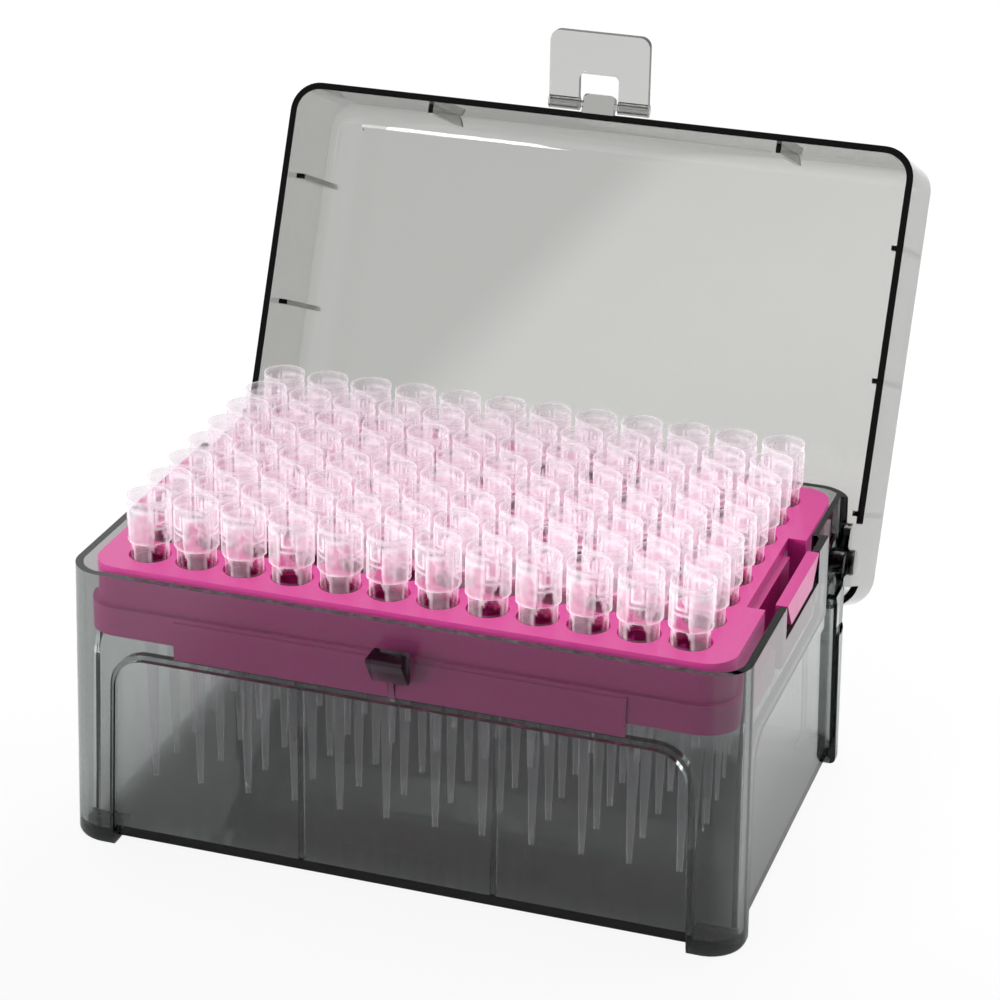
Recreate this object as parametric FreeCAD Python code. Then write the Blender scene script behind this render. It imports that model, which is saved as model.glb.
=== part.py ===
"""A hinged, latching box that holds 96 pipette tips in a clip-in tray.

Millimetres. X runs along the box to the right, Y from front to back, Z up.
Everything is drawn with its height measured from the table, under the centre
of the tip grid, and is then lowered by the height of the feet, so that the
origin is in the middle of the floor's underside. The base box, its tray and
the tips stand as in use; the lid is drawn shut and then swung open about its
side pins, and the latch flap is drawn hanging and then swung out about the
rods on the lid's lug.
"""
import FreeCAD, Part
import math
import os

Vector = FreeCAD.Vector
X_AXIS = Vector(1, 0, 0)
Y_AXIS = Vector(0, 1, 0)
Z_AXIS = Vector(0, 0, 1)

# ---------------------------------------------------------------- tip grid
PITCH = 9.0
COLUMNS = 12
ROWS = 8

# -------------------------------------------------------------------- tips
TIP_LENGTH = 55.7
TIP_STAND = 11.5          # rim of a tip above the tray
TIP_SIDES = 12            # flats round a tip
BARREL_R = 3.5            # between the collar and the step that seats in the tray
COLLAR_STEP = 0.5         # collar beyond the barrel
COLLAR_R = BARREL_R + COLLAR_STEP
COLLAR_LENGTH = 7.8
COLLAR_WALL = 0.6
SOCKET_R = COLLAR_R - COLLAR_WALL    # bore at the rim, where the pipette goes in
SEAT_STEP = 0.35
BODY_R = BARREL_R - SEAT_STEP
BODY_TAPER = 0.35
BODY_END_R = BODY_R - BODY_TAPER     # where the short cone starts
BODY_LENGTH = 8.0
SHAFT_R = 1.2             # where that cone ends and the long thin shaft starts
SHAFT_BORE_R = 0.75
SHAFT_START = 27.0        # below the rim
POINT_R = 0.55
POINT_BORE_R = 0.3
POINT_ROOM = 7.2          # between the points and the floor

# -------------------------------------------------------------------- tray
TRAY_END_BORDER = 8.8     # plate beyond the last hole centres, each end
TRAY_SIDE_BORDER = 7.3    # plate beyond the last hole centres, front and back
TRAY_CORNER_R = 5.5
TRAY_ABOVE_RIM = 0.4
PLATE_THICKNESS = 2.0
TRAY_WALL = 1.5
STEP_DROP = 7.2           # plate top down to where the skirt steps out
STEP_OUT = 1.1
SKIRT_DROP = 12.6         # plate top down to the skirt's lower edge
HOLE_CLEARANCE = 0.33     # round a tip's barrel
HOLE_R = BARREL_R + HOLE_CLEARANCE
SEAT_DEPTH = 1.0          # plate top down to the ledge that a tip's step stands on
THROAT_CLEARANCE = 0.15
THROAT_R = BODY_R + THROAT_CLEARANCE  # hole below that ledge
HOLE_SIDES = 20
TRAY_CLEARANCE = 0.3      # between tray and base
APRON_INSET = 5.064       # the long panels' ends from those of the ledges they stand on
APRON_PROUD = 0.4         # panel beyond the skirt
APRON_STEP = 0.7          # skirt's step down to the panel's upper edge
SLOT_HALF = 15.3
SLOT_STRIP = 1.65         # plate left between the end holes and the slot
SLOT_ROOT = 0.8           # how far the clip's root runs into the plate
CLIP_HALF = 11.9
CLIP_FOOT_HALF = 8.0      # lower edge of the clip's lip
CLIP_LEG = 1.5
LIP_THICKNESS = 0.5       # lip's flank where it joins the leg
LIP_SLOPE = 2.0           # rim down to where that flank starts to slope
RIDGE_DROP = 2.1
RIDGE_WIDTH = 1.2

# -------------------------------------------------------------------- base
BASE_WALL = 1.4
FOOT_FLARE = 1.3          # each end stands out this much further at the foot
LEG_WIDTH = 9.0
LEG_DEPTH = 8.0
ARCH_DROP = 15.7          # rim down to the top of the recesses
ARCH_LEAN = 0.04          # how far a recess's side comes in for each mm up
ARCH_R = 6.0
RECESS = 1.8              # depth of the recesses in the four sides
RECESS_WALL = 1.0
FOOT_HEIGHT = 1.5
FOOT_EDGE_R = 1.2
FLOOR_THICKNESS = 1.6
RIB_SPACING = 36.0
RIB_WIDTH = 1.0
RIB_DEPTH = 0.9
NOTCH_DEPTH = 6.1
NOTCH_CLEARANCE = 0.5
NOTCH_FLOOR_GAP = 0.9     # under the clip's lip

# ------------------------------------------------------------------- hinge
HINGE_INSET = 7.5         # axis forward of the base's rear face
HINGE_DROP = 11.5         # axis below the base's rim
PIN_R = 2.4
PIN_CLEARANCE = 0.06
PIN_PROUD = 0.9           # pin end beyond the lid's ear
PIN_EDGE_R = 0.5
SWEEP_GAP = 1.3814        # round the ear and the lid's wall as they turn
SWEEP_DEPTH = 0.05
POCKET_DEPTH = 1.9
POCKET_FRONT = 14.8       # pocket's ends and its bottom, from the axis
POCKET_REAR = 3.4
POCKET_DROP = 6.0
POCKET_CORNER_R = 2.5
POCKET_WALL = 1.0
WELL_GAP = 1.5            # deeper ring round the pin's root
WELL_DEPTH = 3.5
EAR_FRONT = 7.3           # ear's edges from the axis, lid shut
EAR_REAR = 4.6
EAR_DROP = 5.4
EAR_CORNER_R = 2.0
MOUTH_GRIP = 0.3
MOUTH_FLARE = 0.8
MOUTH_HALF = PIN_R - MOUTH_GRIP      # the ear snaps over the pin through this gap
OPEN_ANGLE = 113.3
STOP_GAP = 0.3

# --------------------------------------------------------------------- lid
LID_WALL = 1.3
LID_HEIGHT = 28.0
LID_OVERLAP = 4.8
LID_SIDE_GAP = 0.25
LID_END_GAP = 0.75        # front and rear, wider for the swing of the lid
LID_CORNER_R = 6.0        # all round, so that the corners are ball-shaped
LID_RIB_DEPTH = 1.8
LID_RIB_WIDTH = 1.0
LID_RIB_GAP = 0.15        # above the base's rim when shut
SIDE_RIBS = (-25.5, 0.0, 25.5)
FRONT_RIBS = (-35.5, 35.5)

# ------------------------------------------------------------------- latch
LUG_GAP = 0.8             # between the lug and the flap's legs
LUG_LENGTH = 3.7
LUG_THICKNESS = 1.6
LUG_CORNER_R = 0.9
ROD_R = 0.7
ROD_CLEARANCE = 0.05
ROD_INSET = 0.1           # rod's ends inside the flap's sides
KNUCKLE_WALL = 0.6
KNUCKLE_R = ROD_R + ROD_CLEARANCE + KNUCKLE_WALL
KNUCKLE_GAP = 0.3         # flap's knuckles in front of the lid
FLAP_WIDTH = 20.0
FLAP_LENGTH = 14.5
FLAP_THICKNESS = 1.4
FLAP_CORNER_R = 2.0
WINDOW_GAP = 0.75         # each side of the catch
WINDOW_LENGTH = 6.3
WINDOW_CORNER_R = 1.0
FLAP_SWING = 66.0         # out from hanging
CATCH_WIDTH = 6.5
CATCH_TOP_GAP = 0.3       # lug above catch, lid shut
CATCH_REACH = 4.5
CATCH_LIP = 0.8           # flat front edge of the hook
CATCH_BITE = 0.5          # how far the flap's bar laps the hook's sloping back
CATCH_FOOT = 1.2          # how far the catch still stands out at its foot
TAIL_WIDTH = 1.2

# A shape that cuts another reaches this far past it.
BEYOND = 10.0

# ---------------------------------------------------------- worked out from these
GRID_HALF_X = (COLUMNS - 1) * PITCH / 2
GRID_HALF_Y = (ROWS - 1) * PITCH / 2
PLATE_X = GRID_HALF_X + TRAY_END_BORDER
PLATE_Y = GRID_HALF_Y + TRAY_SIDE_BORDER
FLOOR_TOP = FOOT_HEIGHT + FLOOR_THICKNESS
TIP_TOP = FLOOR_TOP + POINT_ROOM + TIP_LENGTH
PLATE_TOP = TIP_TOP - TIP_STAND
BASE_HEIGHT = PLATE_TOP - TRAY_ABOVE_RIM
SKIRT_X = PLATE_X + STEP_OUT
SKIRT_Y = PLATE_Y + STEP_OUT
SKIRT_BOTTOM = PLATE_TOP - SKIRT_DROP
SLOT_X = GRID_HALF_X + HOLE_R + SLOT_STRIP
INNER_X = SKIRT_X + APRON_PROUD + TRAY_CLEARANCE
INNER_Y = SKIRT_Y + APRON_PROUD + TRAY_CLEARANCE
RIM_X = INNER_X + BASE_WALL
RIM_Y = INNER_Y + BASE_WALL
RIM_CORNER_R = TRAY_CORNER_R + STEP_OUT
FOOT_X = RIM_X + FOOT_FLARE
FLARE_ANGLE = math.degrees(math.atan(FOOT_FLARE / BASE_HEIGHT))
ARCH_TOP = BASE_HEIGHT - ARCH_DROP
ARCH_HALF_X = FOOT_X - LEG_WIDTH     # at the table
ARCH_HALF_Y = RIM_Y - LEG_DEPTH
LEDGE_TOP = ARCH_TOP + RECESS_WALL
APRON_HALF = ARCH_HALF_X - ARCH_LEAN * ARCH_TOP - ARCH_R - APRON_INSET
HINGE_Y = RIM_Y - HINGE_INSET
HINGE_Z = BASE_HEIGHT - HINGE_DROP
MOUTH_OUTER_HALF = MOUTH_HALF + MOUTH_FLARE
LID_RIM_Z = BASE_HEIGHT - LID_OVERLAP
LID_X = RIM_X + LID_SIDE_GAP + LID_WALL
LID_Y = RIM_Y + LID_END_GAP + LID_WALL
STOP_TURN = math.radians(OPEN_ANGLE)
STOP_REACH = RIM_Y + STOP_GAP - HINGE_Y - (LID_Y - HINGE_Y) * math.cos(STOP_TURN)
STOP_RISE = STOP_REACH / math.sin(STOP_TURN)   # lid's rear edge above the axis, shut
SWEEP_R = math.hypot(EAR_REAR, STOP_RISE) + SWEEP_GAP
WINDOW_WIDTH = CATCH_WIDTH + 2 * WINDOW_GAP
LUG_WIDTH = WINDOW_WIDTH - 2 * LUG_GAP
ROD_Y = -LID_Y - KNUCKLE_GAP - KNUCKLE_R
ROD_Z = LID_RIM_Z + LUG_THICKNESS / 2
CATCH_HEIGHT = WINDOW_LENGTH - LUG_THICKNESS / 2 - CATCH_TOP_GAP + CATCH_BITE


def block(x0, x1, y0, y1, z0, z1):
    """A plain box between two corners."""
    return Part.makeBox(x1 - x0, y1 - y0, z1 - z0, Vector(x0, y0, z0))


def rounded_outline(half_x, half_y, radius, z):
    """A closed rectangle with round corners, centred on the Z axis."""
    corner = radius * (1 - math.sqrt(0.5))
    edges = []
    for sx, sy in ((1, -1), (1, 1), (-1, 1), (-1, -1)):
        across = Vector(sx * half_x, sy * (half_y - radius), z)
        along = Vector(sx * (half_x - radius), sy * half_y, z)
        middle = Vector(sx * (half_x - corner), sy * (half_y - corner), z)
        start, end = (along, across) if sx * sy < 0 else (across, along)
        edges.append(Part.Arc(start, middle, end).toShape())
        if sx * sy < 0:
            next_start = Vector(sx * half_x, -sy * (half_y - radius), z)
        else:
            next_start = Vector(-sx * (half_x - radius), sy * half_y, z)
        edges.append(Part.makeLine(end, next_start))
    return Part.Wire(edges)


def rounded_block(half_x, half_y, radius, z0, z1):
    """An upright block with round corners."""
    face = Part.Face(rounded_outline(half_x, half_y, radius, z0))
    return face.extrude(Vector(0, 0, z1 - z0))


def leaning_out(shape):
    """Leans something at the right end, so that it stands out further towards the foot."""
    return shape.rotated(Vector(RIM_X, 0, BASE_HEIGHT), Y_AXIS, -FLARE_ANGLE)


def flared_block(half_x, half_y, radius, z0, z1):
    """A round-cornered block whose two ends lean outwards towards its foot.

    half_x is the size at the rim. Each half is an upright block that leans,
    and the two overlap in the middle.
    """
    upright = rounded_block(half_x, half_y, radius, z0 - BEYOND, z1 + BEYOND)
    keep = block(-half_x / 2, 2 * half_x, -half_y, half_y, z0, z1)
    right = leaning_out(upright).common(keep)
    return right.fuse(mirrored_x(right)).removeSplitter()


def profile(points):
    """A flat face on a closed run of straight lines."""
    return Part.Face(Part.makePolygon(points + points[:1]))


def fused(shapes):
    """One solid from several, with seams between flat neighbours removed."""
    return shapes[0].multiFuse(shapes[1:]).removeSplitter()


def mirrored_x(shape):
    return shape.mirror(Vector(0, 0, 0), X_AXIS)


def arch_block(half_width, top, radius, depth0, depth1, along_y):
    """An arch with leaning sides and round shoulders, as a block through a wall.

    half_width is the size at the table.
    """
    foot = -BEYOND
    low = half_width - ARCH_LEAN * foot
    high = half_width - ARCH_LEAN * top

    def at(s, z):
        return Vector(s, depth0, z) if along_y else Vector(depth0, s, z)

    outline = profile([at(-low, foot), at(low, foot), at(high, top), at(-high, top)])
    run = depth1 - depth0
    arch = outline.extrude(Vector(0, run, 0) if along_y else Vector(run, 0, 0))
    if radius == 0:
        return arch
    shoulders = [e for e in arch.Edges if e.BoundBox.ZMin > top - 0.01 and is_along(e, along_y)]
    return arch.makeFillet(radius, shoulders)


def is_along(edge, along_y):
    """True if an edge runs through the wall, not across its face."""
    box = edge.BoundBox
    return box.YLength > box.XLength if along_y else box.XLength > box.YLength


# -------------------------------------------------------------------- base

def side_arches(grow):
    """The recesses in the four sides, or with grow set, the room their walls take."""
    front_face = RIM_Y - RECESS - grow
    side_face = RIM_X - RECESS - grow
    top = ARCH_TOP + grow
    radius = ARCH_R + grow
    front = arch_block(ARCH_HALF_X + grow, top, radius, -RIM_Y - BEYOND, -front_face, True)
    side = arch_block(ARCH_HALF_Y + grow, top, radius, side_face, FOOT_X + BEYOND, False)
    side = leaning_out(side)
    return [front, front.mirror(Vector(0, 0, 0), Y_AXIS), side, mirrored_x(side)]


def hinge_sweep():
    """The shallow round-bottomed recess in which the lid's ear and wall turn."""
    inner = RIM_X - SWEEP_DEPTH
    depth = FOOT_X + BEYOND - inner
    disc = Part.makeCylinder(SWEEP_R, depth, Vector(inner, HINGE_Y, HINGE_Z), X_AXIS)
    above = block(inner, inner + depth, HINGE_Y - SWEEP_R, HINGE_Y + SWEEP_R,
                  HINGE_Z, BASE_HEIGHT + BEYOND)
    return disc.fuse(above)


def hinge_pocket(grow):
    """The pocket in the base beside a hinge pin, with a well round the pin's root."""
    pocket = block(RIM_X - POCKET_DEPTH - grow, FOOT_X + BEYOND,
                   HINGE_Y - POCKET_FRONT - grow, HINGE_Y + POCKET_REAR + grow,
                   HINGE_Z - POCKET_DROP - grow, BASE_HEIGHT + BEYOND)
    foot = [e for e in pocket.Edges if e.BoundBox.ZMax < HINGE_Z and e.BoundBox.XLength > 1]
    pocket = pocket.makeFillet(POCKET_CORNER_R + grow, foot)
    well_start = RIM_X - WELL_DEPTH - grow
    well = Part.makeCylinder(PIN_R + WELL_GAP + grow, WELL_DEPTH,
                             Vector(well_start, HINGE_Y, HINGE_Z), X_AXIS)
    return pocket.fuse(well)


def catch():
    """The hook under the latch: flat on top, leaning back to the wall below."""
    top = LID_RIM_Z - CATCH_TOP_GAP
    wall = -RIM_Y + BASE_WALL / 2
    foot = top - CATCH_HEIGHT
    hook = profile([
        Vector(-CATCH_WIDTH / 2, wall, top),
        Vector(-CATCH_WIDTH / 2, -RIM_Y - CATCH_REACH, top),
        Vector(-CATCH_WIDTH / 2, -RIM_Y - CATCH_REACH, top - CATCH_LIP),
        Vector(-CATCH_WIDTH / 2, -RIM_Y - CATCH_FOOT, foot),
        Vector(-CATCH_WIDTH / 2, wall, foot),
    ]).extrude(Vector(CATCH_WIDTH, 0, 0))
    tail = profile([
        Vector(-TAIL_WIDTH / 2, wall, foot + TAIL_WIDTH),
        Vector(-TAIL_WIDTH / 2, -RIM_Y - CATCH_FOOT, foot),
        Vector(-TAIL_WIDTH / 2, -RIM_Y, LEDGE_TOP),
        Vector(-TAIL_WIDTH / 2, wall, LEDGE_TOP),
    ]).extrude(Vector(TAIL_WIDTH, 0, 0))
    return [hook, tail]


def feet():
    """What is cut away under the floor, so that only the four corners touch the table."""
    across = arch_block(ARCH_HALF_X, FOOT_HEIGHT, 0, -2 * RIM_Y, 2 * RIM_Y, True)
    along = arch_block(ARCH_HALF_Y, FOOT_HEIGHT, 0, -2 * RIM_X, 2 * RIM_X, False)
    return [across, along]


def make_base():
    outside = flared_block(RIM_X, RIM_Y, RIM_CORNER_R, 0, BASE_HEIGHT)
    outside = outside.makeFillet(FOOT_EDGE_R, [e for e in outside.Edges if e.BoundBox.ZMax < 0.5])
    outside = outside.cut(side_arches(0) + feet())
    room = flared_block(INNER_X, INNER_Y, RIM_CORNER_R - BASE_WALL, FLOOR_TOP, BASE_HEIGHT)
    pocket_wall = hinge_pocket(POCKET_WALL)
    room = room.cut(side_arches(RECESS_WALL) + [pocket_wall, mirrored_x(pocket_wall)])
    pocket = hinge_sweep().fuse(hinge_pocket(0))
    shell = outside.cut([room, pocket, mirrored_x(pocket)])

    notch_half = CLIP_HALF + NOTCH_CLEARANCE
    notch = block(-FOOT_X, FOOT_X, -notch_half, notch_half,
                  BASE_HEIGHT - NOTCH_DEPTH, BASE_HEIGHT + BEYOND)
    shell = shell.cut(notch)

    panel_inside = RIM_Y - RECESS - RECESS_WALL
    rib_top = LEDGE_TOP - TRAY_CLEARANCE
    ribs = []
    for side in (-1, 1):
        for face in (-1, 1):
            x = side * RIB_SPACING / 2
            root = face * (panel_inside + RECESS_WALL / 2)
            y = sorted((root, face * (panel_inside - RIB_DEPTH)))
            ribs.append(block(x - RIB_WIDTH / 2, x + RIB_WIDTH / 2, y[0], y[1],
                              FLOOR_TOP - FLOOR_THICKNESS / 2, rib_top))
    pin_start = RIM_X - WELL_DEPTH - POCKET_WALL / 2
    pin_end = LID_X + PIN_PROUD
    pin = Part.makeCylinder(PIN_R, pin_end - pin_start, Vector(pin_start, HINGE_Y, HINGE_Z), X_AXIS)
    pin = pin.makeFillet(PIN_EDGE_R, [e for e in pin.Edges if e.BoundBox.XMin > pin_end - 0.01])
    return fused([shell, pin, mirrored_x(pin)] + catch() + ribs)


# -------------------------------------------------------------------- tray

def spring_clip():
    """The bent finger at one end of the tray, with the lip that snaps into the base."""
    ridge_x = SLOT_X + RIDGE_WIDTH
    leg_out = INNER_X - TRAY_CLEARANCE
    leg_in = leg_out - CLIP_LEG
    bend = (leg_in - ridge_x) / 2
    bottom = SKIRT_BOTTOM
    bend_z = bottom + CLIP_LEG + bend
    middle_x = ridge_x + bend
    lip_foot = BASE_HEIGHT - NOTCH_DEPTH + NOTCH_FLOOR_GAP
    root_x = SLOT_X - SLOT_ROOT
    under = PLATE_TOP - PLATE_THICKNESS / 2
    ridge_z = PLATE_TOP - RIDGE_DROP
    lip_in = leg_out - LIP_THICKNESS
    slope_z = BASE_HEIGHT - LIP_SLOPE
    y0 = -CLIP_HALF

    def at(x, z):
        return Vector(x, y0, z)

    inner = Part.Arc(at(ridge_x, bend_z), at(middle_x, bend_z - bend), at(leg_in, bend_z))
    outline = Part.Wire([
        Part.makeLine(at(root_x, under), at(SLOT_X, under)),
        Part.makeLine(at(SLOT_X, under), at(SLOT_X, ridge_z)),
        Part.makeLine(at(SLOT_X, ridge_z), at(ridge_x, ridge_z)),
        Part.makeLine(at(ridge_x, ridge_z), at(ridge_x, bend_z)),
        inner.toShape(),
        Part.makeLine(at(leg_in, bend_z), at(leg_in, lip_foot)),
        Part.makeLine(at(leg_in, lip_foot), at(lip_in, slope_z)),
        Part.makeLine(at(lip_in, slope_z), at(lip_in, BASE_HEIGHT)),
        Part.makeLine(at(lip_in, BASE_HEIGHT), at(leg_out, BASE_HEIGHT)),
        Part.makeLine(at(leg_out, BASE_HEIGHT), at(leg_out, bottom)),
        Part.makeLine(at(leg_out, bottom), at(root_x, bottom)),
        Part.makeLine(at(root_x, bottom), at(root_x, under)),
    ])
    finger = Part.Face(outline).extrude(Vector(0, 2 * CLIP_HALF, 0))
    lip = profile([
        Vector(lip_in, -CLIP_HALF, BASE_HEIGHT),
        Vector(lip_in, CLIP_HALF, BASE_HEIGHT),
        Vector(lip_in, CLIP_FOOT_HALF, lip_foot),
        Vector(lip_in, -CLIP_FOOT_HALF, lip_foot),
    ]).extrude(Vector(RIM_X - lip_in, 0, 0))
    return finger.fuse(lip)


def make_tray():
    step_z = PLATE_TOP - STEP_DROP
    under = PLATE_TOP - PLATE_THICKNESS
    body = rounded_block(PLATE_X, PLATE_Y, TRAY_CORNER_R, step_z, PLATE_TOP).fuse(
        rounded_block(SKIRT_X, SKIRT_Y, TRAY_CORNER_R + STEP_OUT, SKIRT_BOTTOM, step_z))
    hollow = rounded_block(PLATE_X - TRAY_WALL, PLATE_Y - TRAY_WALL,
                           TRAY_CORNER_R - TRAY_WALL, step_z - TRAY_WALL, under).fuse(
        rounded_block(SKIRT_X - TRAY_WALL, SKIRT_Y - TRAY_WALL,
                      TRAY_CORNER_R + STEP_OUT - TRAY_WALL, SKIRT_BOTTOM, step_z - TRAY_WALL))
    tray = body.cut(hollow)

    slot = block(SLOT_X, SLOT_X + BEYOND, -SLOT_HALF, SLOT_HALF,
                 SKIRT_BOTTOM - BEYOND, PLATE_TOP + BEYOND)
    pocket_clear = hinge_pocket(POCKET_WALL + TRAY_CLEARANCE)
    tray = tray.cut([slot, mirrored_x(slot), pocket_clear, mirrored_x(pocket_clear)])

    apron_out = SKIRT_Y + APRON_PROUD
    apron = block(-APRON_HALF, APRON_HALF, -apron_out, TRAY_WALL - apron_out,
                  LEDGE_TOP, step_z - APRON_STEP)
    rear_apron = apron.mirror(Vector(0, 0, 0), Y_AXIS)
    clip = spring_clip()
    slot_wall = block(SLOT_X, SKIRT_X, SLOT_HALF, SLOT_HALF + TRAY_WALL,
                      SKIRT_BOTTOM, PLATE_TOP).common(body)
    slot_walls = [slot_wall, slot_wall.mirror(Vector(0, 0, 0), Y_AXIS)]
    slot_walls += [mirrored_x(wall) for wall in slot_walls]
    tray = fused([tray, apron, rear_apron, clip, mirrored_x(clip)] + slot_walls)

    ledge = PLATE_TOP - SEAT_DEPTH
    mouth = upright_prism(HOLE_R, HOLE_SIDES, ledge, PLATE_TOP)
    throat = upright_prism(THROAT_R, HOLE_SIDES, under, ledge)
    hole = mouth.fuse(throat)
    holes = []
    for column in range(COLUMNS):
        for row in range(ROWS):
            x, y = grid_place(column, row)
            holes.append(hole.translated(Vector(x, y, 0)))
    return tray.cut(Part.makeCompound(holes))


# -------------------------------------------------------------------- tips

def grid_place(column, row):
    """Centre of one hole; column 0 is at the left, row 0 at the back."""
    return column * PITCH - GRID_HALF_X, GRID_HALF_Y - row * PITCH


def around(radius, sides, z):
    """The corners of a regular outline about the Z axis."""
    turn = 2 * math.pi / sides
    return [Vector(radius * math.cos(turn * i), radius * math.sin(turn * i), z) for i in range(sides)]


def upright_prism(radius, sides, z0, z1):
    return profile(around(radius, sides, z0)).extrude(Vector(0, 0, z1 - z0))


def turned_with_flats(rings, sides):
    """A ring-shaped solid with flats: rings are (radius, height) pairs of its section."""
    faces = []
    for ring, next_ring in zip(rings, rings[1:] + rings[:1]):
        near = around(ring[0], sides, ring[1])
        far = around(next_ring[0], sides, next_ring[1])
        for i in range(sides):
            after = (i + 1) % sides
            faces.append(profile([near[i], far[i], far[after], near[after]]))
    return Part.makeSolid(Part.makeShell(faces)).removeSplitter()


def make_tip():
    """One tip, with its rim's centre at the origin and its point down.

    The step under its barrel stands on the ledge in the tray's hole.
    """
    step = -TIP_STAND - SEAT_DEPTH
    return turned_with_flats([
        (SOCKET_R, 0),
        (COLLAR_R, 0),
        (COLLAR_R, -COLLAR_LENGTH),
        (BARREL_R, -COLLAR_LENGTH),
        (BARREL_R, step),
        (BODY_R, step),
        (BODY_END_R, step - BODY_LENGTH),
        (SHAFT_R, -SHAFT_START),
        (POINT_R, -TIP_LENGTH),
        (POINT_BORE_R, -TIP_LENGTH),
        (SHAFT_BORE_R, -SHAFT_START),
    ], TIP_SIDES)


def make_tip_row(row):
    pattern = make_tip()
    tips = []
    for column in range(COLUMNS):
        x, y = grid_place(column, row)
        tips.append(pattern.translated(Vector(x, y, TIP_TOP)))
    return Part.makeCompound(tips)


# --------------------------------------------------------------------- lid

def lid_block(inset, z0):
    """The lid's outer form as a solid, shrunk by inset, standing open side down."""
    top = LID_RIM_Z + LID_HEIGHT - inset
    radius = LID_CORNER_R - inset
    solid = rounded_block(LID_X - inset, LID_Y - inset, radius, z0, top)
    return solid.makeFillet(radius, [e for e in solid.Edges if e.BoundBox.ZMin > top - 0.01])


def rear_cut():
    """What the lid's rear leaves out, so that its edge stops on the base when open."""
    return block(-LID_X - BEYOND, LID_X + BEYOND, HINGE_Y + EAR_REAR, LID_Y + BEYOND,
                 LID_RIM_Z - BEYOND, HINGE_Z + STOP_RISE)


def lid_ear():
    """The hook beside the right pin: the lid's wall carried down, with a mouth for the pin."""
    front = HINGE_Y - EAR_FRONT
    rear = HINGE_Y + EAR_REAR
    foot = HINGE_Z - EAR_DROP
    start = LID_X - BEYOND
    wall = lid_block(0, foot).cut(lid_block(LID_WALL, foot))
    window = block(start, LID_X + BEYOND, front, rear, foot, LID_RIM_Z + LID_WALL)
    low = [e for e in window.Edges if e.BoundBox.ZMax < foot + 0.01 and e.BoundBox.XLength > 5]
    window = window.makeFillet(EAR_CORNER_R, low)
    hole = Part.makeCylinder(PIN_R + PIN_CLEARANCE, 2 * BEYOND, Vector(start, HINGE_Y, HINGE_Z), X_AXIS)
    mouth = profile([
        Vector(start, HINGE_Y - MOUTH_HALF, HINGE_Z),
        Vector(start, HINGE_Y - MOUTH_HALF, HINGE_Z - PIN_R),
        Vector(start, HINGE_Y - MOUTH_OUTER_HALF, foot),
        Vector(start, HINGE_Y + MOUTH_OUTER_HALF, foot),
        Vector(start, HINGE_Y + MOUTH_HALF, HINGE_Z - PIN_R),
        Vector(start, HINGE_Y + MOUTH_HALF, HINGE_Z),
    ]).extrude(Vector(2 * BEYOND, 0, 0))
    return wall.common(window).cut([hole, mouth])


def lid_ribs():
    """Ribs down the inside of the walls; shut, their feet stand on the base's rim."""
    start = BASE_HEIGHT + LID_RIB_GAP
    end = LID_RIM_Z + LID_HEIGHT
    inner_x = LID_X - LID_WALL
    inner_y = LID_Y - LID_WALL
    half = LID_RIB_WIDTH / 2
    trim = lid_block(LID_WALL / 2, LID_RIM_Z)
    ribs = []
    for y in SIDE_RIBS:
        rib = block(inner_x - LID_RIB_DEPTH, LID_X, y - half, y + half, start, end)
        ribs += [rib, mirrored_x(rib)]
    for x in FRONT_RIBS:
        ribs.append(block(x - half, x + half, -LID_Y, -inner_y + LID_RIB_DEPTH, start, end))
    return [rib.common(trim) for rib in ribs]


def latch_lug():
    """The small tongue on the lid's front rim, with the rods that carry the flap."""
    lug = block(-LUG_WIDTH / 2, LUG_WIDTH / 2, -LID_Y - LUG_LENGTH, -LID_Y + LID_WALL / 2,
                LID_RIM_Z, LID_RIM_Z + LUG_THICKNESS)
    outer = [e for e in lug.Edges if e.BoundBox.YMax < -LID_Y - LUG_LENGTH + 0.01
             and e.BoundBox.ZLength > LUG_THICKNESS / 2]
    lug = lug.makeFillet(LUG_CORNER_R, outer)
    rod_half = FLAP_WIDTH / 2 - ROD_INSET
    rod = Part.makeCylinder(ROD_R, 2 * rod_half, Vector(-rod_half, ROD_Y, ROD_Z), X_AXIS)
    return lug.fuse(rod)


def make_lid():
    shell = lid_block(0, LID_RIM_Z).cut([lid_block(LID_WALL, LID_RIM_Z), rear_cut()])
    ear = lid_ear()
    lid = fused([shell, ear, mirrored_x(ear), latch_lug()] + lid_ribs())
    lid.rotate(Vector(0, HINGE_Y, HINGE_Z), X_AXIS, -OPEN_ANGLE)
    return lid


# ------------------------------------------------------------------- latch

def make_flap():
    """The clear latch plate: two legs on the lug's rods, and a bar that goes under the catch."""
    half = FLAP_WIDTH / 2
    back = ROD_Y - FLAP_THICKNESS / 2
    plate = block(-half, half, back, back + FLAP_THICKNESS, ROD_Z - FLAP_LENGTH, ROD_Z)
    tips = [e for e in plate.Edges if e.BoundBox.YLength > FLAP_THICKNESS / 2
            and e.BoundBox.ZMax < ROD_Z - 1]
    plate = plate.makeFillet(FLAP_CORNER_R, tips)
    window = block(-WINDOW_WIDTH / 2, WINDOW_WIDTH / 2, back - BEYOND, back + BEYOND,
                   ROD_Z - WINDOW_LENGTH, ROD_Z + BEYOND)
    corners = [e for e in window.Edges if e.BoundBox.YLength > BEYOND and e.BoundBox.ZMax < ROD_Z]
    window = window.makeFillet(WINDOW_CORNER_R, corners)
    knuckle = Part.makeCylinder(KNUCKLE_R, FLAP_WIDTH, Vector(-half, ROD_Y, ROD_Z), X_AXIS)
    bore = Part.makeCylinder(ROD_R + ROD_CLEARANCE, FLAP_WIDTH, Vector(-half, ROD_Y, ROD_Z), X_AXIS)
    flap = fused([plate, knuckle]).cut([window, bore])
    flap.rotate(Vector(0, ROD_Y, ROD_Z), X_AXIS, -FLAP_SWING)
    flap.rotate(Vector(0, HINGE_Y, HINGE_Z), X_AXIS, -OPEN_ANGLE)
    return flap


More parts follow.
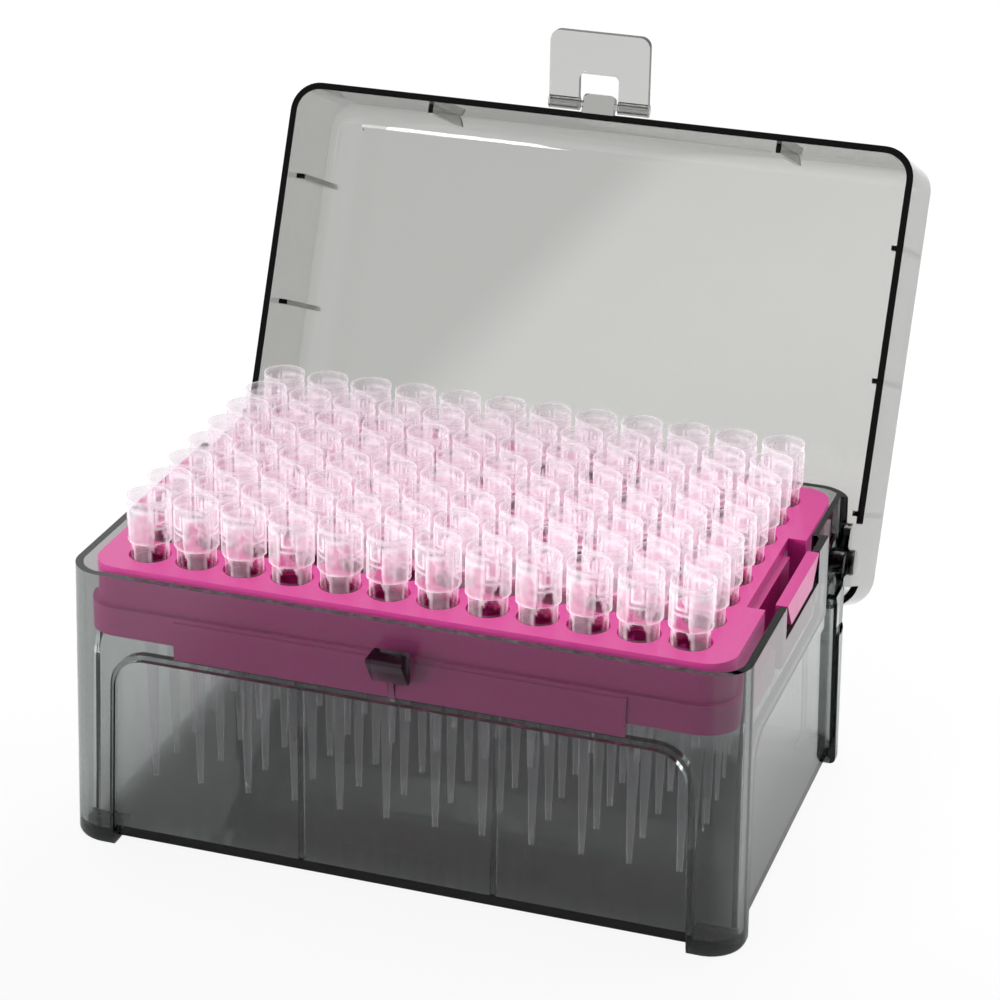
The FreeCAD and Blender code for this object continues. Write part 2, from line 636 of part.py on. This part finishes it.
def build():
    parts = {
        "base_box": make_base(),
        "tip_tray": make_tray(),
        "lid": make_lid(),
        "latch_flap": make_flap(),
    }
    for row in range(ROWS):
        parts["tips_row_" + "abcdefghijklmnop"[row]] = make_tip_row(row)
    os.makedirs("parts", exist_ok=True)
    for name, shape in parts.items():
        shape.translate(Vector(0, 0, -FOOT_HEIGHT))
        shape.exportStep("parts/" + name + ".step")
        box = shape.BoundBox
        print("%-14s solids %3d  volume %9.1f  x %.2f..%.2f  y %.2f..%.2f  z %.2f..%.2f" % (
            name, len(shape.Solids), shape.Volume, box.XMin, box.XMax,
            box.YMin, box.YMax, box.ZMin, box.ZMax))


build()
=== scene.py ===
# %% [markdown]
# A hinged box of pipette tips, open on a bench
#
# The box is smoke-tinted clear plastic. It holds a magenta tray with ninety-six
# milky-clear tips in it, and its lid stands open at the back. The exact shapes
# of the box, the tray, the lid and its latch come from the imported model, which
# this script loads as a fixed frame. What is made here is the look: the camera,
# the light, the finishes, and the fine moulded form of the tips.

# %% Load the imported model
import bpy
import math
import random
from mathutils import Matrix, Vector


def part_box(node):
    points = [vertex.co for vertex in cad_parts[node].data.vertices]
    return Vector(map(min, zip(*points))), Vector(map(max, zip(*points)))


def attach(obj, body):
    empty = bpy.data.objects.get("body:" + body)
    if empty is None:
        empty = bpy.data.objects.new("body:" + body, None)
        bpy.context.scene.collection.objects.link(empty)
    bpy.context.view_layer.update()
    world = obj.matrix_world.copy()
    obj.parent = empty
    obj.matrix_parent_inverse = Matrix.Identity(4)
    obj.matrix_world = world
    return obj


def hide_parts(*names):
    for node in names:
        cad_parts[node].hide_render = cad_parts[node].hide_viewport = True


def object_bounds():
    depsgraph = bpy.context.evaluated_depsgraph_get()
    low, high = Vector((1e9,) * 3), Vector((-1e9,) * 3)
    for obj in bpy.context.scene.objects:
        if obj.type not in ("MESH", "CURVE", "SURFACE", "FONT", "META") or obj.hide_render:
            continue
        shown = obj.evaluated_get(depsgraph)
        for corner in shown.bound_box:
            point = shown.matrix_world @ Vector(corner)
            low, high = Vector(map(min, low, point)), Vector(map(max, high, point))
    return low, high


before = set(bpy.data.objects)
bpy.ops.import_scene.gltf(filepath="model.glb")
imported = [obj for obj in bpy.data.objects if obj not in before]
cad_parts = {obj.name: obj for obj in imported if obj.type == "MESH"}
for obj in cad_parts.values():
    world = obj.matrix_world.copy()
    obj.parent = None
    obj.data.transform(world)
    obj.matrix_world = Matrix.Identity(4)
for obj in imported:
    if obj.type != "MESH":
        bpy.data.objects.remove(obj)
cad_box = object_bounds()
MM = 0.001
print("nodes:", ", ".join(sorted(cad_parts)))

# %% [markdown]
# The view is from the front and a little to the right, looking down at the
# tips. A long lens is used, as for a small product on a table, so that the box
# keeps its upright edges nearly parallel.

# %% Camera
CAMERA_PLACE = Vector((0.16128, -0.48069, 0.28149))
CAMERA_TURN = math.radians(18.0)
CAMERA_DOWN = math.radians(23.76)
CAMERA_ROLL = math.radians(1.14)
CAMERA_LENS = 110.45


def aim_camera(place, turn, down, roll, lens):
    """Makes the camera, turned to the left, tipped down and rolled."""
    ahead = Vector((-math.sin(turn) * math.cos(down), math.cos(turn) * math.cos(down), -math.sin(down)))
    level = Vector((math.cos(turn), math.sin(turn), 0))
    up = level.cross(ahead)
    across = level * math.cos(roll) + up * math.sin(roll)
    upright = up * math.cos(roll) - level * math.sin(roll)
    data = bpy.data.cameras.new("camera")
    data.lens = lens
    data.sensor_width = 36.0
    data.clip_start = 0.01
    camera = bpy.data.objects.new("camera", data)
    camera.matrix_world = Matrix.Translation(place) @ Matrix((
        (across.x, upright.x, -ahead.x, 0),
        (across.y, upright.y, -ahead.y, 0),
        (across.z, upright.z, -ahead.z, 0),
        (0, 0, 0, 1)))
    bpy.context.scene.collection.objects.link(camera)
    bpy.context.scene.camera = camera
    return camera


aim_camera(CAMERA_PLACE, CAMERA_TURN, CAMERA_DOWN, CAMERA_ROLL, CAMERA_LENS)
print("camera lens:", CAMERA_LENS, "mm")

# %% [markdown]
# Node trees are easier to read as a list of named steps. These two helpers add
# a node with its values set, and join one node's output to another's input.

# %% Helpers for nodes
def add(tree, kind, values=None, **settings):
    """Adds one node, with its settings and its unlinked input values."""
    made = tree.nodes.new(kind)
    for name, value in settings.items():
        setattr(made, name, value)
    for name, value in (values or {}).items():
        made.inputs[name].default_value = value
    return made


def join(tree, source, output, target, name):
    tree.links.new(source.outputs[output], target.inputs[name])


def new_material(name):
    material = bpy.data.materials.new(name)
    material.use_nodes = True
    material.node_tree.nodes.clear()
    return material, material.node_tree


# %% [markdown]
# The box stands on a plain white sweep. The camera sees the paper as nearly
# white, yet part of what it sees is truly lit, so the soft shadow under the box
# stays. What the glossy plastic mirrors, and what shows through it, has a
# smaller share of that white, so the ground under the box looks as dark as it
# is there. That share grows away from the box's sides: near them it is a
# painted shadow, which ends a little way out. The paper's colour is grey in
# front of the box and white behind; the grey is painted shade, for the shadow
# in front of the box.

# %% White sweep
PAPER_GLOW = 0.9                # share of plain white that the camera sees
GLOW_NEAR, GLOW_AWAY = 0.02, 0.85      # the same in plastic, by the box and away
GLOW_FROM, GLOW_TO = 0.062, 0.088      # where it grows, to each side, in metres
PAINTED_SHADE_FRONT, WHITE_BACK = 0.42, 0.93    # painted shade in front, and the paper's white behind
SHADE_FROM, SHADE_TO = -0.12, 0.06     # where they meet, front to back, in metres
FLOOR_SIZE = 6.0


def paper_material():
    material, tree = new_material("white_paper")
    output = add(tree, "ShaderNodeOutputMaterial")
    place = add(tree, "ShaderNodeTexCoord")
    split = add(tree, "ShaderNodeSeparateXYZ")
    # Painted shade: the paper is grey in front of the box and white behind, for the shadow in front of
    # it.
    painted_front_shade = add(tree, "ShaderNodeMapRange", {
        "From Min": SHADE_FROM, "From Max": SHADE_TO,
        "To Min": PAINTED_SHADE_FRONT, "To Max": WHITE_BACK}, interpolation_type="SMOOTHSTEP")
    lit = add(tree, "ShaderNodeBsdfDiffuse")
    join(tree, place, "Object", split, "Vector")
    join(tree, split, "Y", painted_front_shade, "Value")
    join(tree, painted_front_shade, "Result", lit, "Color")
    glow = add(tree, "ShaderNodeEmission", {"Color": (1, 1, 1, 1), "Strength": 1.0})
    path = add(tree, "ShaderNodeLightPath")
    plastic = add(tree, "ShaderNodeMath", operation="MAXIMUM")
    aside = add(tree, "ShaderNodeMath", operation="ABSOLUTE")
    # Painted shadow: the share of white that the plastic sees is low beside the box and grows away from
    # its sides.
    away = add(tree, "ShaderNodeMapRange", {
        "From Min": GLOW_FROM, "From Max": GLOW_TO,
        "To Min": GLOW_NEAR, "To Max": GLOW_AWAY}, interpolation_type="SMOOTHSTEP")
    part = add(tree, "ShaderNodeMath", operation="MULTIPLY")
    join(tree, split, "X", aside, 0)
    join(tree, aside, 0, away, "Value")
    join(tree, away, "Result", part, 1)
    straight = add(tree, "ShaderNodeMath", {1: PAPER_GLOW}, operation="MULTIPLY")
    share = add(tree, "ShaderNodeMath", operation="ADD")
    mix = add(tree, "ShaderNodeMixShader")
    join(tree, path, "Is Glossy Ray", plastic, 0)
    join(tree, path, "Is Transmission Ray", plastic, 1)
    join(tree, plastic, 0, part, 0)
    join(tree, path, "Is Camera Ray", straight, 0)
    join(tree, straight, 0, share, 0)
    join(tree, part, 0, share, 1)
    join(tree, share, 0, mix, 0)
    join(tree, lit, 0, mix, 1)
    join(tree, glow, 0, mix, 2)
    join(tree, mix, 0, output, "Surface")
    return material


def make_floor():
    half = FLOOR_SIZE / 2
    height = cad_box[0][2]
    mesh = bpy.data.meshes.new("floor")
    corners = [(x * half, y * half, height) for x, y in ((-1, -1), (1, -1), (1, 1), (-1, 1))]
    mesh.from_pydata(corners, [], [(0, 1, 2, 3)])
    floor = bpy.data.objects.new("floor", mesh)
    bpy.context.scene.collection.objects.link(floor)
    floor.data.materials.append(paper_material())
    return floor


make_floor()
print("floor at", round(cad_box[0][2] / MM, 2), "mm")

# %% [markdown]
# Soft, plain studio light: an even surround does most of the work, a wide
# softbox hangs above and a little behind the box, and a second one stands at
# the right. A smaller one at the front left lifts the colour behind the smoke
# plastic. What is seen of the surround is white beyond the box and grows darker
# towards the front, as in a room with a white wall at one end, so that the
# gloss and the thick edges of the clear plastic have something dark to show.

# %% Surround
SURROUND = 0.5                  # light that the room gives from all sides
DARK_FRONT = 0.22               # what is seen of the room towards the front
DARK_FROM, DARK_TO = -0.55, 0.1        # where that darkness ends, by direction


def make_world(level):
    world = bpy.data.worlds.new("surround")
    world.use_nodes = True
    tree = world.node_tree
    tree.nodes.clear()
    output = add(tree, "ShaderNodeOutputWorld")
    path = add(tree, "ShaderNodeLightPath")
    first = add(tree, "ShaderNodeMath", operation="ADD", use_clamp=True)
    second = add(tree, "ShaderNodeMath", operation="ADD", use_clamp=True)
    way = add(tree, "ShaderNodeTexCoord")
    split = add(tree, "ShaderNodeSeparateXYZ")
    depth = add(tree, "ShaderNodeMapRange", {
        "From Min": DARK_FROM, "From Max": DARK_TO, "To Min": DARK_FRONT},
        interpolation_type="SMOOTHSTEP")
    join(tree, way, "Generated", split, "Vector")
    join(tree, split, "Y", depth, "Value")
    surround = add(tree, "ShaderNodeBackground", {"Color": (1, 1, 1, 1), "Strength": level})
    white = add(tree, "ShaderNodeBackground", {"Color": (1, 1, 1, 1), "Strength": 1.0})
    join(tree, depth, "Result", white, "Strength")
    mix = add(tree, "ShaderNodeMixShader")
    join(tree, path, "Is Camera Ray", first, 0)
    join(tree, path, "Is Glossy Ray", first, 1)
    join(tree, first, 0, second, 0)
    join(tree, path, "Is Transmission Ray", second, 1)
    join(tree, second, 0, mix, 0)
    join(tree, surround, 0, mix, 1)
    join(tree, white, 0, mix, 2)
    join(tree, mix, 0, output, "Surface")
    bpy.context.scene.world = world


make_world(SURROUND)
print("surround:", SURROUND)


# %% Softboxes
def softbox(name, place, target, width, height, power):
    """Hangs a rectangular lamp, sizes in metres and power in watts, facing its target."""
    data = bpy.data.lights.new(name, "AREA")
    data.shape = "RECTANGLE"
    data.size = width
    data.size_y = height
    data.energy = power
    lamp = bpy.data.objects.new(name, data)
    lamp.location = place
    lamp.rotation_euler = (Vector(target) - Vector(place)).to_track_quat("-Z", "Y").to_euler()
    lamp.visible_camera = False
    bpy.context.scene.collection.objects.link(lamp)
    return lamp


softbox("overhead", (-0.1, 0.25, 0.85), (0, 0, 0.04), 0.7, 0.6, 5.5)
softbox("right", (0.6, 0.5, 0.22), (0.08, 0.05, 0), 0.5, 0.4, 4.0)
softbox("front", (-0.42, -0.6, 0.16), (0, 0, 0.03), 0.4, 0.2, 4.4)
bpy.context.scene.view_settings.view_transform = "Standard"

# %% [markdown]
# Light may pass many walls here: the box's two, the lid's, and those of tip
# behind tip. Each kind of step gets its own limit, high enough for what can be
# seen. Light that bounces between matt pieces hardly matters after the first
# bounce, and a low limit there keeps the render short.

# %% How far light is followed
cycles = bpy.context.scene.cycles
cycles.max_bounces = 7
cycles.diffuse_bounces = 1
cycles.glossy_bounces = 2
cycles.transmission_bounces = 7
cycles.transparent_max_bounces = 32
print("bounces:", cycles.max_bounces, "and through tips:", cycles.transparent_max_bounces)

# %% [markdown]
# Moulded plastic has two faint marks: a slight ripple in its gloss from the
# mould, and fine rubs from handling, drawn out along the way that hands slide.
# They are built once, as a group that gives a height and a roughness mask. The
# tray takes both. The clear parts take only the rubs: they are polished, and
# ripples in walls that light passes many times cost much and show little.

# %% Moulded skin group
def value_in(group, name, value):
    """Gives a group a numeric input with its usual value."""
    socket = group.interface.new_socket(name=name, in_out="INPUT", socket_type="NodeSocketFloat")
    socket.default_value = value


def value_out(group, name):
    """Gives a group a numeric output."""
    group.interface.new_socket(name=name, in_out="OUTPUT", socket_type="NodeSocketFloat")


def moulded_skin_group():
    group = bpy.data.node_groups.new("moulded_skin", "ShaderNodeTree")
    value_in(group, "Ripple Scale", 90.0)
    value_in(group, "Rub Scale", 160.0)
    value_out(group, "Height")
    value_out(group, "Rubs")
    entry = add(group, "NodeGroupInput")
    leave = add(group, "NodeGroupOutput")
    place = add(group, "ShaderNodeTexCoord")
    ripple = add(group, "ShaderNodeTexNoise", {"Detail": 1.0, "Roughness": 0.45})
    join(group, place, "Object", ripple, "Vector")
    join(group, entry, "Ripple Scale", ripple, "Scale")
    join(group, ripple, "Fac", leave, "Height")
    stretch = add(group, "ShaderNodeMapping", {"Scale": (1.0, 1.0, 0.12), "Rotation": (0.5, 0.3, 0.2)})
    join(group, place, "Object", stretch, "Vector")
    rubs = add(group, "ShaderNodeTexNoise", {"Detail": 2.0, "Roughness": 0.7})
    join(group, stretch, "Vector", rubs, "Vector")
    join(group, entry, "Rub Scale", rubs, "Scale")
    sharpen = add(group, "ShaderNodeMapRange", {"From Min": 0.56, "From Max": 0.8})
    join(group, rubs, "Fac", sharpen, "Value")
    join(group, sharpen, "Result", leave, "Rubs")
    return group


MOULDED_SKIN = moulded_skin_group()
print("group:", MOULDED_SKIN.name)


def rubs_into(tree, shader, smooth, rubbed):
    """Puts the rubs on a Principled shader's Roughness, and returns the skin for more."""
    skin = add(tree, "ShaderNodeGroup", node_tree=MOULDED_SKIN)
    rough = add(tree, "ShaderNodeMapRange", {"To Min": smooth, "To Max": rubbed})
    join(tree, skin, "Rubs", rough, "Value")
    join(tree, rough, "Result", shader, "Roughness")
    return skin


# %% [markdown]
# Smoke plastic: clear plastic with a grey-green dye all through it. A thin wall
# looks pale grey, and an edge, where sight runs a long way inside it, nearly
# black. So the colour isn't on the surface: it is an absorbing volume inside
# real glass-like walls. The box, the lid and the latch flap each have their own
# dye and density. Glass would block the lamps' direct light, so for shadows
# alone a see-through colour, the shade, takes its place.

# %% Smoke plastic
POLISHED = 0.0                  # roughness where there are no rubs


def smoke_material(name, dye, density, shade, rubbed):
    """Clear plastic with a dye in it, the shade of its shadow, and how rough its rubs are."""
    material, tree = new_material(name)
    output = add(tree, "ShaderNodeOutputMaterial")
    glass = add(tree, "ShaderNodeBsdfPrincipled", {
        "Base Color": (1, 1, 1, 1), "IOR": 1.49, "Transmission Weight": 1.0})
    rubs_into(tree, glass, POLISHED, rubbed)
    passing = add(tree, "ShaderNodeBsdfTransparent", {"Color": shade + (1,)})
    path = add(tree, "ShaderNodeLightPath")
    mix = add(tree, "ShaderNodeMixShader")
    join(tree, path, "Is Shadow Ray", mix, 0)
    join(tree, glass, 0, mix, 1)
    join(tree, passing, 0, mix, 2)
    join(tree, mix, 0, output, "Surface")
    absorb = add(tree, "ShaderNodeVolumeAbsorption", {"Color": dye + (1,), "Density": density})
    join(tree, absorb, 0, output, "Volume")
    return material


def finish_node(name, material):
    """Gives a node of the frame its finish, slot by slot."""
    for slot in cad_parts[name].material_slots:
        slot.material = material


smoke = smoke_material("smoke_plastic", (0.165, 0.215, 0.205), 440.0, (0.52, 0.55, 0.55), 0.12)
pale_smoke = smoke_material(
    "pale_smoke_plastic", (0.20, 0.205, 0.17), 680.0, (0.74, 0.74, 0.73), 0.12)
clear = smoke_material("clear_plastic", (0.20, 0.21, 0.18), 500.0, (0.8, 0.8, 0.8), 0.10)
finish_node("base_box", smoke)
finish_node("lid", pale_smoke)
finish_node("latch_flap", clear)
print("smoke plastics:", smoke.name, pale_smoke.name, clear.name)

# %% [markdown]
# The tray is solid magenta plastic with a satin skin. A little of the light
# that goes in comes out again beside where it entered, which lifts the colour
# of its edges.

# %% Magenta tray
TRAY_RIPPLE = 260.0             # about so many ripples in a metre
TRAY_RIPPLE_DEPTH = 0.00003     # in metres


def magenta_material():
    material, tree = new_material("magenta_plastic")
    output = add(tree, "ShaderNodeOutputMaterial")
    satin = add(tree, "ShaderNodeBsdfPrincipled", {
        "Base Color": (0.50, 0.02, 0.215, 1), "IOR": 1.75, "Subsurface Weight": 0.1,
        "Subsurface Radius": (0.0015, 0.0004, 0.0008), "Subsurface Scale": 1.0})
    skin = rubs_into(tree, satin, 0.28, 0.42)
    skin.inputs["Ripple Scale"].default_value = TRAY_RIPPLE
    bump = add(tree, "ShaderNodeBump", {"Strength": 1.0, "Distance": TRAY_RIPPLE_DEPTH})
    join(tree, skin, "Height", bump, "Height")
    join(tree, bump, "Normal", satin, "Normal")
    join(tree, satin, 0, output, "Surface")
    return material


magenta = magenta_material()
finish_node("tip_tray", magenta)
print("tray:", magenta.name)

# %% [markdown]
# The tips are the fine work. Each is one thin moulding with a threefold
# pattern: a collar with three broad frosted panels, between them three clear
# windows with a small tongue and a bar, and under the collar a fluted barrel
# whose three frosted ribs stand on the tray. Below the tray a long cone runs to
# the point. The shape is a grid wrapped round an axis: columns go round it, and
# rings down it. They lie where the pattern has its edges, so few are needed.

# %% Tip sizes
COLLAR_END = 8.2        # depths below the rim, in mm
SEAT = 12.5
SKIRT_END = 22.0        # the tray's skirt hides what lies above this
RIM_R = 3.96            # radii, in mm
COLLAR_R = 4.0
GROOVE_R = 3.86
WINDOW_R = 3.7
TONGUE_R = 3.9
BAR_R = 3.85
RIB_R = 3.5
FLUTE_R = 3.3
WINDOW_HALF = 26.0      # half widths, in degrees round the tip
PANEL_EDGE = 23.0
TONGUE_HALF = 17.0
SECTOR_COLUMNS = (0, 8, 13, 17, 19, 23, 26, 34, 43, 52, 60)
RINGS = (0, 0.35, 1.1, 1.9, 2.6, 3.5, 4.1, 4.7, 5.2, 5.7, 6.6, 7.6, 8.2, 8.35,
         9.1, 10.0, 11.2, 12.5, 12.7, 16.0, 20.5, 24.0, 27.0, 40.0, 55.7)
BODY = ((12.6, 3.15), (20.5, 2.8), (27.0, 1.2), (55.7, 0.55))
print("rings down a tip:", len(RINGS))

# %% [markdown]
# The bore goes down inside. Between the tray's skirt and the point nobody can
# see it, and each surface that sight has to pass costs time, ninety-six times
# over. So there it closes to a thread as thin as a hair, and it opens again at
# the point.

# %% Tip bore
THREAD = 0.01
BORE = ((0, 3.45), (8.0, 3.1), (12.6, 2.65), (20.5, 2.3), (20.6, THREAD),
        (54.5, THREAD), (54.6, 0.3), (55.7, 0.3))
print("bore, from the rim:", BORE[0][1] * 2, "mm")

# %% [markdown]
# Where the plastic is frosted, it looks milky, and where it is polished, clear.
# Each point of the grid keeps a number for that, called frost, which the
# material reads. A second number says how much painted light from the tray is
# on that point: the magenta that would light the tip, painted into its colour.
# Inside the tray a tip is lit by nothing but magenta, and a little of that
# painted light climbs up inside the clear wall, the most near the tray.

# %% Tip pattern
IN_TRAY_FROST = 0.4
PAINTED_TRAY_LIGHT_ABOVE = 0.12      # painted tray light at the tray's top, fading out up to the rim


def tip_columns():
    """Turns round the tip, in degrees, each with its distance from the middle of a window."""
    half = [(a, a) for a in SECTOR_COLUMNS]
    mirrored = [(120 - a, a) for a in reversed(SECTOR_COLUMNS[1:-1])]
    sector = half + mirrored
    return [(turn + 120 * k, off) for k in range(3) for turn, off in sector]


def collar_surface(off, depth):
    """Radius in mm and frost of the collar, whose extra frost along its edges is a painted highlight
    line.
    """
    at_foot = depth > 7.8
    if off >= PANEL_EDGE:
        rounding = depth > 7.0 and off < WINDOW_HALF
        if depth < 1.8 or rounding:
            return GROOVE_R, 0.22
        # Painted highlight: extra frost along the panel's edges makes a thin white line.
        highlight_line = off <= WINDOW_HALF or at_foot or depth < 2.0
        return COLLAR_R, 0.65 if highlight_line else 0.33
    if depth < 1.8:
        return GROOVE_R, 0.12
    if off <= TONGUE_HALF and depth < 4.3:
        # Painted highlight: the tongue's outline is frosted white, a thin white line.
        highlight_line = off > 12 or depth > 3.9
        return TONGUE_R, 0.7 if highlight_line else 0.15
    if 5.0 < depth < 5.5:
        return BAR_R, 0.6
    if at_foot:
        return GROOVE_R, 0.45
    return WINDOW_R, 0.0 if depth < 5.0 else 0.05


def tip_surface(off, depth):
    """Radius in mm and frost of the outside, by the distance from a window's middle and the depth."""
    if depth < 0.5:
        return RIM_R, 0.4
    if depth <= COLLAR_END:
        return collar_surface(off, depth)
    if depth <= SEAT:
        arch = WINDOW_HALF * min(1.0, 0.45 + (depth - COLLAR_END) / 2.4)
        if off <= arch:
            return FLUTE_R, 0.0
        # Painted highlight: the rib's edge by the window has extra frost, a thin white line.
        return RIB_R, 0.5 if off <= WINDOW_HALF + 8 else 0.2
    for (d0, r0), (d1, r1) in zip(BODY, BODY[1:]):
        if depth <= d1:
            return r0 + (r1 - r0) * max(0.0, depth - d0) / (d1 - d0), 0.1


def tip_point(off, depth, bore):
    """Radius, frost and painted tray light of a point, outside or, where a bore radius is given,
    inside.
    """
    radius, milk = (bore, 0.0) if bore else tip_surface(off, depth)
    # Painted light: points inside the tray get the full magenta; above it the painted light fades up to
    # the rim.
    if SEAT - 0.6 < depth < SKIRT_END and not bore:
        return radius, IN_TRAY_FROST, 1.0
    return radius, milk, PAINTED_TRAY_LIGHT_ABOVE * (depth / SEAT) if depth < SEAT else 0.0


def tip_grid():
    """Points, faces, frost and painted tray light of one tip, its rim's middle at the origin, in
    metres.
    """
    columns = tip_columns()
    count = len(columns)
    points = []
    frost = []
    painted_tray_light = []
    outside = [(depth, None) for depth in RINGS]
    for depth, bore in outside + list(reversed(BORE)):
        for turn, off in columns:
            radius, milk, tint = tip_point(off, depth, bore)
            angle = math.radians(turn)
            points.append((radius * math.cos(angle) * MM, radius * math.sin(angle) * MM, -depth * MM))
            frost.append(milk)
            painted_tray_light.append(tint)
    rings = len(points) // count
    faces = []
    for k in range(rings):
        near = k * count
        far = (k + 1) % rings * count
        for i in range(count):
            j = (i + 1) % count
            faces.append((near + i, far + i, far + j, near + j))
    return points, faces, frost, painted_tray_light


TIP_POINTS, TIP_FACES, TIP_FROST, TIP_PAINTED_TRAY_LIGHT = tip_grid()
print("one tip:", len(TIP_POINTS), "points,", len(TIP_FACES), "faces")

# %% [markdown]
# Milky plastic is white where it scatters and lets the rest of the light pass.
# At a shallow angle sight runs further inside the wall, so it looks whiter
# there. A wall this thin hardly bends light, so it can do without refraction,
# which would be slow with ninety-six tips one behind the other. Where a wall is
# both clear and seen straight on, the milk's share is exactly nothing. Then no
# light has to be gathered there, and that makes the tips much quicker.

# %% Tip plastic
# The milk is the plastic's own white; its faint pink is painted light from the magenta tray.
MILK = (0.97, 0.95, 0.965)
# Painted light: the tray's magenta, as it would light the tips, mixed into their colour.
PAINTED_TRAY_LIGHT = (0.60, 0.03, 0.28)
EDGE_FROM, EDGE_MILK = 0.3, 0.32       # from which slant, and how milky edge-on


def tip_material():
    material, tree = new_material("tip_plastic")
    output = add(tree, "ShaderNodeOutputMaterial")
    milk = add(tree, "ShaderNodeBsdfPrincipled", {"IOR": 1.5})
    glow = add(tree, "ShaderNodeBsdfTranslucent")
    # Painted light: each point's share of the tray's magenta tints the milk, the glow and what passes.
    painted_tray_light = add(tree, "ShaderNodeAttribute", attribute_name="painted_tray_light")
    tint = add(tree, "ShaderNodeMix", {6: MILK + (1,), 7: PAINTED_TRAY_LIGHT + (1,)}, data_type="RGBA")
    join(tree, painted_tray_light, "Fac", tint, 0)
    join(tree, tint, 2, milk, "Base Color")
    join(tree, tint, 2, glow, "Color")
    body = add(tree, "ShaderNodeMixShader", {0: 0.5})
    join(tree, milk, 0, body, 1)
    join(tree, glow, 0, body, 2)
    passing = add(tree, "ShaderNodeBsdfTransparent")
    join(tree, tint, 2, passing, "Color")
    frost = add(tree, "ShaderNodeAttribute", attribute_name="frost")
    place = add(tree, "ShaderNodeTexCoord")
    mottle = add(tree, "ShaderNodeTexNoise", {"Scale": 700.0, "Detail": 0.0})
    uneven = add(tree, "ShaderNodeMapRange", {
        "From Min": 0.3, "From Max": 0.7, "To Min": 0.8, "To Max": 1.15})
    matt = add(tree, "ShaderNodeMapRange", {"To Min": 0.08, "To Max": 0.45})
    join(tree, place, "Object", mottle, "Vector")
    join(tree, mottle, "Fac", uneven, "Value")
    join(tree, frost, "Fac", matt, "Value")
    join(tree, matt, "Result", milk, "Roughness")
    edge = add(tree, "ShaderNodeLayerWeight", {"Blend": 0.3})
    lift = add(tree, "ShaderNodeMapRange", {"From Min": EDGE_FROM, "To Max": EDGE_MILK})
    join(tree, edge, "Facing", lift, "Value")
    milky = add(tree, "ShaderNodeMath", operation="MULTIPLY_ADD", use_clamp=True)
    join(tree, frost, "Fac", milky, 0)
    join(tree, uneven, "Result", milky, 1)
    join(tree, lift, "Result", milky, 2)
    mix = add(tree, "ShaderNodeMixShader")
    join(tree, milky, 0, mix, 0)
    join(tree, passing, 0, mix, 1)
    join(tree, body, 0, mix, 2)
    join(tree, mix, 0, output, "Surface")
    return material


tip_plastic = tip_material()
print("tips:", tip_plastic.name)

# %% [markdown]
# The rows stand where the frame has them. In the tray each tip has turned its
# own way, since nothing holds it at an angle, and leans by a fraction of a
# degree in its hole. Tips this clear shade one another very little, so they are
# left out of the shadows: following each ray of light through a dozen of them
# would be slow.

# %% Rows of tips
TIPS_IN_ROW = 12
LEAN = math.radians(0.35)
turns = random.Random(96)


def make_row(letter):
    """Makes the twelve tips of one row as one piece, in the place of the frame's row."""
    node = "tips_row_" + letter
    low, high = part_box(node)
    first = low[0] + COLLAR_R * MM
    pitch = (high[0] - low[0] - 2 * COLLAR_R * MM) / (TIPS_IN_ROW - 1)
    middle = (low[1] + high[1]) / 2
    points = []
    faces = []
    for column in range(TIPS_IN_ROW):
        lean = Matrix.Rotation(turns.uniform(-LEAN, LEAN), 4, "X") @ Matrix.Rotation(
            turns.uniform(-LEAN, LEAN), 4, "Y")
        spin = Matrix.Rotation(turns.uniform(0, 2 * math.pi), 4, "Z")
        seat = Matrix.Translation((0, 0, -SEAT * MM))
        place = Matrix.Translation((first + column * pitch, middle, high[2]))
        move = place @ seat @ lean @ seat.inverted() @ spin
        start = len(points)
        points += [tuple(move @ Vector(p)) for p in TIP_POINTS]
        faces += [tuple(start + i for i in face) for face in TIP_FACES]
    mesh = bpy.data.meshes.new("tips_" + letter)
    mesh.from_pydata(points, [], faces)
    mesh.polygons.foreach_set("use_smooth", [True] * len(mesh.polygons))
    for name, values in (("frost", TIP_FROST), ("painted_tray_light", TIP_PAINTED_TRAY_LIGHT)):
        mesh.attributes.new(name, "FLOAT", "POINT").data.foreach_set("value", values * TIPS_IN_ROW)
    row = bpy.data.objects.new("tips_" + letter, mesh)
    bpy.context.scene.collection.objects.link(row)
    mesh.materials.append(tip_plastic)
    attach(row, "base")
    row.visible_shadow = False
    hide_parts(node)
    return row


for letter in "abcdefgh":
    make_row(letter)
print("tips:", 8 * TIPS_IN_ROW)
